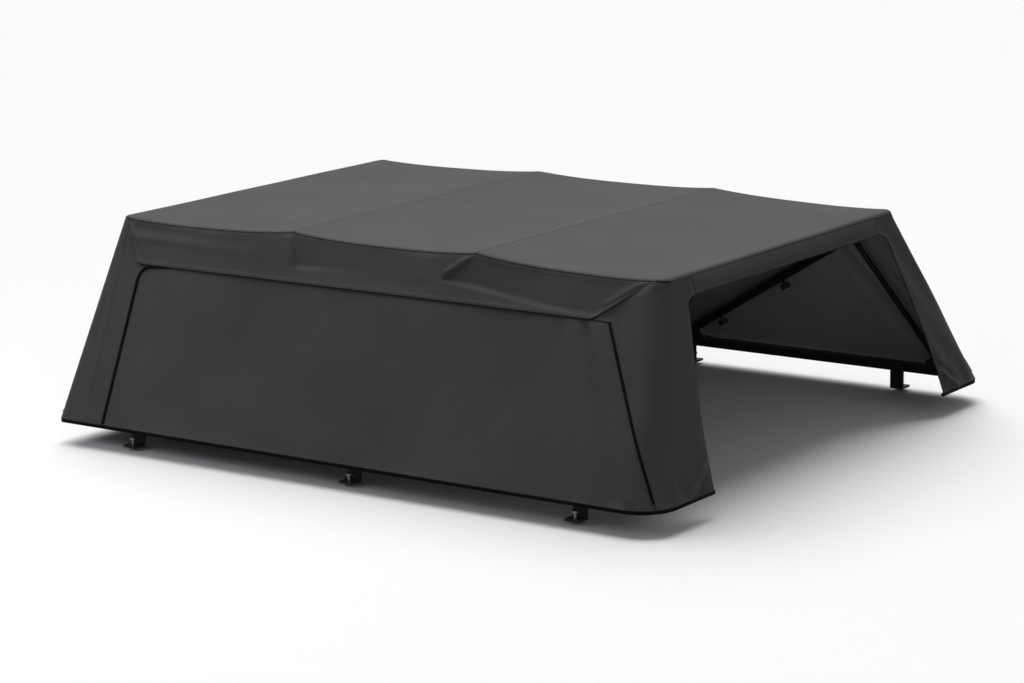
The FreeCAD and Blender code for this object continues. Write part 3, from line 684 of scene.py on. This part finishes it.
# %% The falls
LAP = 0.0030
HEM_ROLL = 0.0012
SEAM_CALM = 0.024


def shoulder_line(x_from, x_to, count=60):
    """The falls' upper edge in (X, Z): the deck's line less the shoulder roll."""
    x = np.linspace(x_from, x_to, count)
    return np.stack([x, any_deck_height(x) - shoulder_drop], axis=-1)


for span, (ahead, behind) in SPANS.items():
    low = np.array(FALL_EDGE[span])
    high = shoulder_line(*FALL_TOP[span])
    u = crowded(abs(high[-1, 0] - high[0, 0]), coarse=0.0055)
    v = crowded(0.12, fine=0.0022, coarse=0.004)
    flat = patch(low, high, [low[0], high[0]], [low[-1], high[-1]], u, v)
    x, z = flat[..., 0], flat[..., 1]
    lap = LAP * (1 - v[None]) ** 0.7
    hem_roll = HEM_ROLL * np.exp(-((z - HEM - 0.006) / 0.005) ** 2)
    seams = (span == "rear", span == "front", 1, 1)
    calm = np.clip(v[None] * 5, 0.2, 1) * np.clip((1 - v[None]) * 9, 0, 1)
    calm = calm * np.clip(rim_distance(flat, (seams[0], 0, 0, 0)) / SEAM_CALM, 0, 1)
    out = side_relief(x, z) * calm + lap + hem_roll
    for side, sign in SIDES.items():
        points = on_side(x, z, out, sign)
        flags = seams
        if sign > 0:
            points, flags = points[::-1], (seams[1], seams[0], 1, 1)
        piece = sew(f"fall_{span}_{side}_cloth", points, cover, lining, flags)
        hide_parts(f"fall_{span}_{side}")
        declare(points)
        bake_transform(piece)

# %% [markdown]
# ## Side panels
#
# The side panel is one flat cut, zipped in at the front and behind and tucked under the falls' hem.  The rear
# zip is a straight line on the unrolled cloth, so it runs round the corner at its foot.  When the top folds,
# the real panel is unzipped and drawn forward; here the piece is held on the frame as it is.

# %% The two zips' lines
# Run round the rear corner, nought where the arc starts, and height
ZIP_LOW = (0.088, CLOTH_LOW)
ZIP_HIGH = (-0.1062, HEM)


def zip_run(z):
    """Run of the rear zip at a height: a straight line on the unrolled cloth."""
    return ZIP_LOW[0] + (ZIP_HIGH[0] - ZIP_LOW[0]) * (z - ZIP_LOW[1]) / (ZIP_HIGH[1] - ZIP_LOW[1])


def rear_zip(count=25, top=HEM):
    """The rear zip's line as (run, height) points from the base up."""
    z = np.linspace(ZIP_LOW[1], top, count)
    return np.stack([zip_run(z), z], axis=-1)


def pillar_x(z):
    """X of the front zip at a height: it leans forward a little."""
    return PILLAR_X + (PILLAR_TOP - PILLAR_X) * (z - CLOTH_LOW) / (HEM - CLOTH_LOW)


print("rear zip leans", round(ZIP_LOW[0] - ZIP_HIGH[0], 3), "front zip", round(PILLAR_TOP - PILLAR_X, 3))

# %% Side panels
TUCK = 0.010
TUCK_DEPTH = 0.006
TUCK_EASE = 0.004
PANEL_CALM = 0.030
ZIP_FOLDS = [
    # soft folds: distance ahead of the rear zip, width, height, and how far each fans out at the base
    (0.046, 0.016, 0.0046, 0.010),
    (0.072, 0.012, -0.0046, 0.018),
    (0.108, 0.020, 0.0030, 0.034),
    (0.140, 0.016, -0.0022, 0.052),
]


def gather_side(piece):
    """Hold a piece on the frame, with a mesh of its own."""
    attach(piece, "frame")
    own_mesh(piece)


panel_top = HEM + TUCK
panel_u = crowded(PILLAR_X - REAR, fine=0.005, edge=0.130)
panel_v = crowded(panel_top, edge=0.020, coarse=0.010)
front_edge = [rear_map(pillar_x(z), z) for z in np.linspace(CLOTH_LOW, panel_top, 25)]
back_edge = rear_zip(top=panel_top)
panel_flat = patch([back_edge[0], front_edge[0]], [back_edge[-1], front_edge[-1]], back_edge, front_edge,
                   panel_u, panel_v)
panel_s, panel_z = panel_flat[..., 0], panel_flat[..., 1]
flat_3d = np.concatenate([panel_flat, 0 * panel_flat[..., :1]], axis=-1)
ahead = zip_run(panel_z) - panel_s
zip_folds = 0 * ahead
for place, width, height, slant in ZIP_FOLDS:
    zip_folds += height * np.exp(-((ahead - place - slant * (1 - panel_z / HEM)) / width) ** 2)
panel_out = side_relief(rear_x(panel_s, panel_z), panel_z) + zip_folds
panel_out *= np.clip(rim_distance(flat_3d) / PANEL_CALM, 0, 1)
panel_out -= TUCK_DEPTH * np.clip((panel_z - HEM + TUCK_EASE) / (TUCK + TUCK_EASE), 0, 1)
for side, sign in SIDES.items():
    points = wrap(panel_s, panel_z, panel_out, sign)
    if sign > 0:
        points = points[::-1]
    piece = sew(f"panel_{side}_cloth", points, cover, lining, (0, 0, 1, 0))
    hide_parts(f"side_panel_{side}")
    declare(points)
    gather_side(piece)

# %% [markdown]
# ## Front pillars
#
# The pillar is the band between the front zip and the front panel, with the mitre seam above it.  It wraps
# the upright corner, so its outline is drawn on that corner's unrolled map.

# %% Front pillars
def front_map(x, z):
    """Side point to (run, height) at the front corner."""
    return (x - (ENDS["front"][0] - corner_radius(z, "front")), z)


front_arc = corner_radius(0.5, "front") * math.pi / 2
front_rim = [(front_arc * t, float(rim_height(math.pi / 2 * t, "front"))) for t in np.linspace(0, 1, 7)]
pillar_low = [front_map(PILLAR_X, CLOTH_LOW), (front_arc, CLOTH_LOW)]
pillar_top = [front_map(PILLAR_TOP, HEM), front_map(*MITRE), *front_rim]
pillar_u = crowded(float(front_arc - pillar_low[0][0]), edge=0.016, fine=0.0026, coarse=0.006)
pillar_flat = patch(pillar_low, pillar_top, [front_map(PILLAR_X, CLOTH_LOW), front_map(PILLAR_TOP, HEM)],
                    [(front_arc, CLOTH_LOW), front_rim[-1]], pillar_u, crowded(0.45, coarse=0.010))
s, z = pillar_flat[..., 0], pillar_flat[..., 1]
x = s + ENDS["front"][0] - corner_radius(z, "front")
calm = np.clip(rim_distance(wrap(s, z, 0 * s, 1.0, "front")) / 0.015, 0, 1) * np.clip(-s / 0.02, 0, 1)
fold = ridge(x, z, (0.905, 0.46), (0.845, 0.02), 0.006, 0.0020, 0.4)
for side, sign in SIDES.items():
    points = wrap(s, z, (side_relief(x, z) + fold) * calm, sign, "front")
    if sign > 0:
        points = points[::-1]
    piece = sew(f"pillar_{side}_cloth", points, cover, lining, (1, 0, 1, 0) if sign > 0 else (0, 1, 1, 0))
    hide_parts(f"pillar_{side}")
    declare(points)
    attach(piece, "frame")

# %% [markdown]
# ## Front panel
#
# Behind the cab one sheet closes the tent, upright and almost flat.  Its outline follows the sides' lean, so
# a grid across and up, with a belly of a millimetre, is all it needs.

# %% Front panel
BELLY = 0.0012
share_y = crowded(1.7, edge=0.03) * 2 - 1
share_z = crowded(0.5)
z = (CLOTH_LOW + (front_rim[-1][1] - CLOTH_LOW) * share_z)[None]
y = share_y[:, None] * (BASE_HALF - SIDE_LEAN * z - corner_radius(z, "front"))
belly = BELLY * np.sin(6.0 * y + 5.0 * z) ** 2 * np.sin(math.pi * share_z)[None]
front_points = np.stack([ENDS["front"][0] - belly + 0 * y, y, SEAT + z + 0 * y], axis=-1)
piece = sew("front_panel_cloth", front_points, cover, lining)
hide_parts("front_panel")
declare(front_points)
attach(piece, "frame")

# %% [markdown]
# ## Rear corners
#
# The rear corner wraps from the rear zip to the edge of the open window.  Its four edges are drawn on the
# unrolled map: the zip, the slanting seam with the deck's rim, the window's edge and the base.  The window's
# upper corner is rounded, because its binding can't turn sharply.

# %% The window's edge
OPEN_LOW, OPEN_HIGH, OPEN_TOP = (0.603, 0.0), (0.520, 0.388), (0.464, 0.447)
OPEN_ROUND = 0.038
HEADER_HALF = 0.467


def rounded_corner(before, corner, after, radius, count):
    """Points of an arc that rounds a corner: its centre lies on the bisector, tangent to both edges."""
    before, corner, after = (np.array(p, float) for p in (before, corner, after))
    a = (before - corner) / np.linalg.norm(before - corner)
    b = (after - corner) / np.linalg.norm(after - corner)
    half = math.acos(float(a @ b)) / 2
    reach = radius / math.tan(half)
    start, end = corner + a * reach, corner + b * reach
    centre = corner + (a + b) / np.linalg.norm(a + b) * radius / math.sin(half)
    first = math.atan2(*(start - centre)[::-1])
    turn = (math.atan2(*(end - centre)[::-1]) - first + math.pi) % (2 * math.pi) - math.pi
    angle = first + turn * np.linspace(0, 1, count)
    return centre + radius * np.stack([np.cos(angle), np.sin(angle)], axis=-1)


def opening_edge():
    """The open window's edge in (Y, Z): bowed a little outwards, flared at the base and rounded above."""
    t = np.linspace(0, 1, 16)
    y = OPEN_LOW[0] + (OPEN_HIGH[0] - OPEN_LOW[0]) * t + 0.014 * np.sin(math.pi * t) * (1 - 0.3 * t)
    z = CLOTH_LOW + (OPEN_HIGH[1] - CLOTH_LOW) * t
    arc = rounded_corner((float(y[-2]), float(z[-2])), (OPEN_HIGH[0] - 0.013, OPEN_TOP[1]),
                         (0.0, OPEN_TOP[1]), OPEN_ROUND, 9)
    below = z < arc[0, 1] - 0.006
    return [*zip(y[below], z[below]), *map(tuple, arc), (HEADER_HALF, OPEN_TOP[1])]


print("points on the window's edge:", len(opening_edge()))

# %% The corners' four edges
SEAM_BOW = 0.006
seam_top = (tail_x, float(rim_height(0.0, "rear")))
seam_line = [(TAB[0] + (seam_top[0] - TAB[0]) * t,
              TAB[1] + (seam_top[1] - TAB[1]) * t + SEAM_BOW * math.sin(math.pi * t))
             for t in np.linspace(0, 1, 12)]
rear_r = corner_radius(rim_height(0.0, "rear"), "rear")
rim_line = [(float(rear_r * a), float(rim_height(a, "rear"))) for a in np.linspace(0, math.pi / 2, 9)]
left_edge = [*map(tuple, rear_zip(20)), rear_map(*TAB)]
right_edge = [face_map(*p) for p in opening_edge()] + [face_map(HEADER_HALF, rim_line[-1][1])]
top_edge = [rear_map(*p) for p in seam_line] + rim_line[1:] + [right_edge[-1]]
corner_flat = patch([left_edge[0], right_edge[0]], top_edge, left_edge, right_edge,
                    crowded(0.45, coarse=0.007), crowded(0.56, coarse=0.008))
print("rear corner's grid:", corner_flat.shape[0], "by", corner_flat.shape[1])

# %% Rear corners
CORNER_CALM = 0.022
crease_run = face_map(OPEN_LOW[0], 0.02)[0]
CORNER_CREASES = [
    # start and end in (run, height), width, height, fade
    ((crease_run - 0.008, 0.100), (crease_run - 0.085, 0.000), 0.009, 0.0060, 0.2),
    ((crease_run - 0.030, 0.105), (crease_run - 0.110, 0.010), 0.012, -0.0040, 0.2),
    ((-0.020, 0.480), (0.030, 0.250), 0.016, 0.0034, 1.0),
    ((0.012, 0.470), (0.070, 0.260), 0.016, -0.0030, 1.0),
]


def gather_corner(piece):
    """Hang a piece on the rear bow, with a mesh of its own."""
    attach(piece, "rear_bow")
    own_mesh(piece)


s, z = corner_flat[..., 0], corner_flat[..., 1]
foot = np.exp(-(z / 0.07) ** 2)
out = 0.0020 * np.sin(31 * s + 4 * z) + 0.0012 * np.sin(57 * s - 9 * z + 1.0)
out += 0.0020 * foot * np.sin(88 * s + 55 * z)
for row in CORNER_CREASES:
    out += ridge(s, z, *row)
calm = np.clip(rim_distance(wrap(s, z, 0 * s, 1.0)) / CORNER_CALM, 0, 1)
for side, sign in SIDES.items():
    points = wrap(s, z, out * calm, sign)
    if sign < 0:
        points = points[::-1]
    piece = sew(f"corner_{side}_cloth", points, cover, lining)
    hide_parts(f"corner_{side}")
    declare(points)
    gather_corner(piece)

# %% [markdown]
# ## Header
#
# Over the open window a narrow strip joins the two corners.  It lies in the rear face's plane, hollow by two
# millimetres between its seams, and the hollow fades out at both ends.

# %% Header over the open window
HOLLOW = 0.0022
header_top = rim_line[-1][1]
header_y = (crowded(2 * HEADER_HALF, edge=0.024) * 2 - 1)[:, None] * HEADER_HALF
header_z = (OPEN_TOP[1] + (header_top - OPEN_TOP[1]) * crowded(0.045, coarse=0.004, edge=0.012))[None]
swell = np.sin(math.pi * (header_z - OPEN_TOP[1]) / (header_top - OPEN_TOP[1]))
ends = np.clip((1 - np.abs(header_y) / HEADER_HALF) * 14, 0, 1)
header_x = REAR + REAR_LEAN * header_z - HOLLOW * swell * ends
header_points = np.stack([header_x + 0 * header_y, header_y + 0 * header_z, SEAT + header_z + 0 * header_y],
                         axis=-1)[::-1]
piece = sew("header_cloth", header_points, cover, lining)
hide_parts("header")
declare(header_points)
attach(piece, "rear_bow")

# %% [markdown]
# ## Zips
#
# A zip is a narrow tape with a raised chain of teeth.  The tape is a profile carried along the zip's line,
# and the teeth are one small block copied by whole arrays, which is far quicker than an object for each.

# %% A profile or a row of blocks along a path
def unit(vectors):
    """Vectors scaled to length one."""
    return vectors / np.linalg.norm(vectors, axis=-1, keepdims=True)


def carry(name, path, normals, profile, material):
    """Sweep a closed profile of (across, out) along a path; across is the cross of direction and normal."""
    across = unit(np.cross(unit(np.gradient(path, axis=0)), normals))
    profile = np.asarray(profile, float)
    ring = path[:, None] + across[:, None] * profile[None, :, :1] + normals[:, None] * profile[None, :, 1:]
    rows, columns = ring.shape[:2]
    index = np.arange(rows * columns).reshape(rows, columns)
    nxt = np.roll(index, -1, axis=1)
    faces = np.stack([index[:-1], nxt[:-1], nxt[1:], index[1:]], axis=-1).reshape(-1, 4).tolist()
    faces.append(index[0, ::-1].tolist())
    faces.append(index[-1].tolist())
    return trim(name, ring, faces, material)


def teeth(name, path, normals, pitch, size, material):
    """Copies of one block along a path, every pitch, alternately left and right of the path."""
    share = np.arange(pitch / 2, 1.0, pitch / np.linalg.norm(np.diff(path, axis=0), axis=1).sum())
    at = along_line(path, share)
    out = unit(along_line(normals, share))
    ahead = unit(np.gradient(at, axis=0))
    across = np.cross(ahead, out)
    shift = np.where(np.arange(len(at)) % 2, TOOTH_SHIFT, -TOOTH_SHIFT)
    block = np.array([(a, b, c) for a in (-0.5, 0.5) for b in (-0.5, 0.5) for c in (0.0, 1.0)]) * size
    co = (at[:, None] + ahead[:, None] * block[None, :, :1]
          + across[:, None] * (block[None, :, 1:2] + shift[:, None, None])
          + out[:, None] * block[None, :, 2:])
    quads = np.array([(0, 1, 3, 2), (4, 6, 7, 5), (0, 4, 5, 1), (2, 3, 7, 6), (0, 2, 6, 4), (1, 5, 7, 3)])
    faces = (quads[None] + 8 * np.arange(len(at))[:, None, None]).reshape(-1, 4).tolist()
    return trim(name, co, faces, material)


def trim(name, co, faces, material):
    """A small black piece from points and faces."""
    mesh = bpy.data.meshes.new(name)
    mesh.from_pydata(co.reshape(-1, 3).tolist(), [], faces)
    mesh.materials.append(material)
    mesh.update()
    piece = linked(name, mesh)
    return piece


def outward(s, z, sign):
    """Unit normals of the wrapped tent: a point one out less the point itself."""
    return unit(wrap(s, z, 0 * s + 1.0, sign) - wrap(s, z, 0 * s, sign))

# %% Front and rear zips
TAPE = [(-0.0055, -0.0006), (0.0055, -0.0006), (0.0050, 0.0008), (0.0030, 0.0014), (-0.0030, 0.0014),
        (-0.0050, 0.0008)]
TAPE_OUT = 0.0012
TOOTH_PITCH = 0.0042
TOOTH_SIZE = (0.0026, 0.0040, 0.0010)
TOOTH_SHIFT = 0.0009
TOOTH_OUT = 0.0013
PANEL_ROUND = 0.030
zip_crown = HEM - 0.003
round_points = rounded_corner((PILLAR_X, CLOTH_LOW), (PILLAR_TOP, zip_crown), (0.0, zip_crown),
                              PANEL_ROUND, 13)
front_zip = [(PILLAR_X, CLOTH_LOW + 0.004), *map(tuple, round_points), (PILLAR_TOP - 0.16, HEM + 0.008)]
ZIP_PATHS = {
    # name: (run, height) points from the base upwards, and the tape's width as a share of the profile's
    "front": ([rear_map(*p) for p in front_zip], 0.85),
    "rear": (rear_zip()[1:], 0.62),
}
for side, sign in SIDES.items():
    for zip_name, (points, wide) in ZIP_PATHS.items():
        line = along_line(points, np.linspace(0, 1, 60))
        s, z = line[:, 0], line[:, 1]
        path = wrap(s, z, TAPE_OUT + 0 * s, sign)
        normals = outward(s, z, sign)
        profile = [(across * wide, out) for across, out in TAPE]
        tape = carry(f"zip_{zip_name}_{side}_tape", path, normals, profile, finishes["zip"])
        chain = teeth(f"zip_{zip_name}_{side}_teeth", path + normals * TOOTH_OUT, normals, TOOTH_PITCH,
                      TOOTH_SIZE, finishes["zip"])
        print(tape.name, "with", len(chain.data.vertices) // 8, "teeth")
        gather_side(tape)
        gather_side(chain)

# %% [markdown]
# ## Base seal
#
# A black rubber lip under the cloth's lower edge keeps water out of the box.  It is one profile carried round
# the base, cut where the corner's arc starts: the side is held on the frame and the corner on the rear bow.

# %% Base seal
SEAL = [(-0.0045, -0.0030), (0.0045, -0.0030), (0.0055, 0.0), (0.0045, 0.0030), (-0.0045, 0.0030)]
SEAL_HEIGHT = 0.0036
SEAL_INSET = 0.0035


def seal_piece(name, run, sign):
    """A length of the seal between two runs round the tent, just inside the cloth's lower edge."""
    path = wrap(run, np.full(run.shape, SEAL_HEIGHT), np.full(run.shape, -SEAL_INSET), sign)
    normals = wrap(run, 0 * run, 0 * run + 1, sign) - wrap(run, 0 * run, 0 * run, sign)
    normals[:, 2] = 0
    return carry(name, path, unit(normals), SEAL, finishes["seal"])


seal_front = rear_map(ENDS["front"][0] - 0.016, 0.0)[0]
seal_end = face_map(OPEN_LOW[0] - 0.002, 0.0)[0]
for side, sign in SIDES.items():
    straight = seal_piece(f"base_seal_{side}", np.linspace(seal_front, -0.0005, 12), sign)
    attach(straight, "frame")
    gather_corner(seal_piece(f"corner_seal_{side}", np.linspace(0.0, seal_end, 70), sign))
print("seal on each side:", round(seal_end - seal_front, 3), "m")

# %% [markdown]
# ## Floor and backdrop
#
# The object stands on a pale floor before a white backdrop.  So much white would flood the tent with light,
# so the camera sees one brightness and bounced light another, by the light path node's camera ray.

# %% Floor
FLOOR_REACH = 60.0
FLOOR_SEEN = 0.97
FLOOR_BOUNCED = 0.22


def plain_white(name, seen, bounced):
    """A pale ground that takes the shadow: one grey for the camera, a darker one for bounced light."""
    material, tree, shader, add = new_material(name)
    rays = add("ShaderNodeLightPath")
    dark, light = (bounced, bounced, bounced, 1), (seen, seen, seen, 1)
    grey = mixed(tree, add, rays.outputs["Is Camera Ray"], dark, light)
    tree.links.new(grey, shader.inputs["Base Color"])
    shader.inputs["Roughness"].default_value = 0.9
    shader.inputs["Specular IOR Level"].default_value = 0.1
    return material


floor_mesh = bpy.data.meshes.new("floor")
ground = [(x * FLOOR_REACH, y * FLOOR_REACH, 0) for x, y in ((-1, -1), (1, -1), (1, 1), (-1, 1))]
floor_mesh.from_pydata(ground, [], [(0, 1, 2, 3)])
floor_mesh.materials.append(plain_white("pale_floor", FLOOR_SEEN, FLOOR_BOUNCED))
linked("floor", floor_mesh)
print("floor laid, shown at", FLOOR_SEEN)

# %% Backdrop
SKY_STRENGTH = 0.185
BACKDROP = 0.97
world = bpy.data.worlds.new("studio")
bpy.context.scene.world = world
world.use_nodes = True
nodes, links = world.node_tree.nodes, world.node_tree.links
background = nodes["Background"]
background.inputs["Color"].default_value = (0.93, 0.94, 0.96, 1)
background.inputs["Strength"].default_value = SKY_STRENGTH
bright = nodes.new("ShaderNodeBackground")
bright.inputs["Color"].default_value = (1, 1, 1, 1)
bright.inputs["Strength"].default_value = BACKDROP
chooser = nodes.new("ShaderNodeMixShader")
rays = nodes.new("ShaderNodeLightPath")
links.new(rays.outputs["Is Camera Ray"], chooser.inputs[0])
links.new(background.outputs[0], chooser.inputs[1])
links.new(bright.outputs[0], chooser.inputs[2])
links.new(chooser.outputs[0], nodes["World Output"].inputs[0])
print("sky at", SKY_STRENGTH, "behind the backdrop")

# %% [markdown]
# ## Lamps
#
# The photograph is lit by an open sky.  A very wide sun overhead makes the decks lighter than the sides, a
# weak one behind keeps the rear corners from going black, and a round lamp lifts the front of the long side.

# %% Lamps
SUNS = {
    # name: direction that the light comes from, width in degrees, strength
    "overhead": ((0.45, -0.45, 1.0), 55.0, 2.95),
    "rear_fill": ((-1.0, 0.45, 0.45), 40.0, 0.22),
}
for name, (direction, width, strength) in SUNS.items():
    data = bpy.data.lights.new(name, "SUN")
    data.angle = math.radians(width)
    data.energy = strength
    lamp = linked(name, data)
    lamp.rotation_euler = Vector(direction).to_track_quat("Z", "Y").to_euler()

softbox = bpy.data.lights.new("front_softbox", "AREA")
softbox.shape = "DISK"
softbox.size = 1.2
softbox.energy = 10.0
softbox.color = (0.90, 0.92, 1.0)
lamp = linked("front_softbox", softbox)
lamp.location = (2.0, 2.4, 1.5)
lamp.rotation_euler = (lamp.location - Vector((0.5, 0.75, 0.3))).to_track_quat("Z", "Y").to_euler()
print("lamps:", len(SUNS) + 1)

# %% [markdown]
# ## Camera
#
# The camera stands where the photographer stood, behind and to the left, with a long lens.  It looks along a
# line to the aim and is turned round that line by the photo's small tilt.

# %% Camera
CAMERA = Vector((REAR - 3.642, 6.702, SEAT + 1.888))
AIM = Vector((0.02, 0.064, 0.225))
LENS = 108.0
ROLL = math.radians(-0.8)
camera_data = bpy.data.cameras.new("camera")
camera_data.lens = LENS
camera_data.sensor_width = 36.0
camera = linked("camera", camera_data)
turn = (AIM - CAMERA).to_track_quat("-Z", "Y").to_matrix().to_4x4() @ Matrix.Rotation(ROLL, 4, "Z")
camera.matrix_world = Matrix.Translation(CAMERA) @ turn
bpy.context.scene.camera = camera
bpy.context.scene.view_settings.view_transform = "Standard"
print("camera at", [round(v, 2) for v in CAMERA])
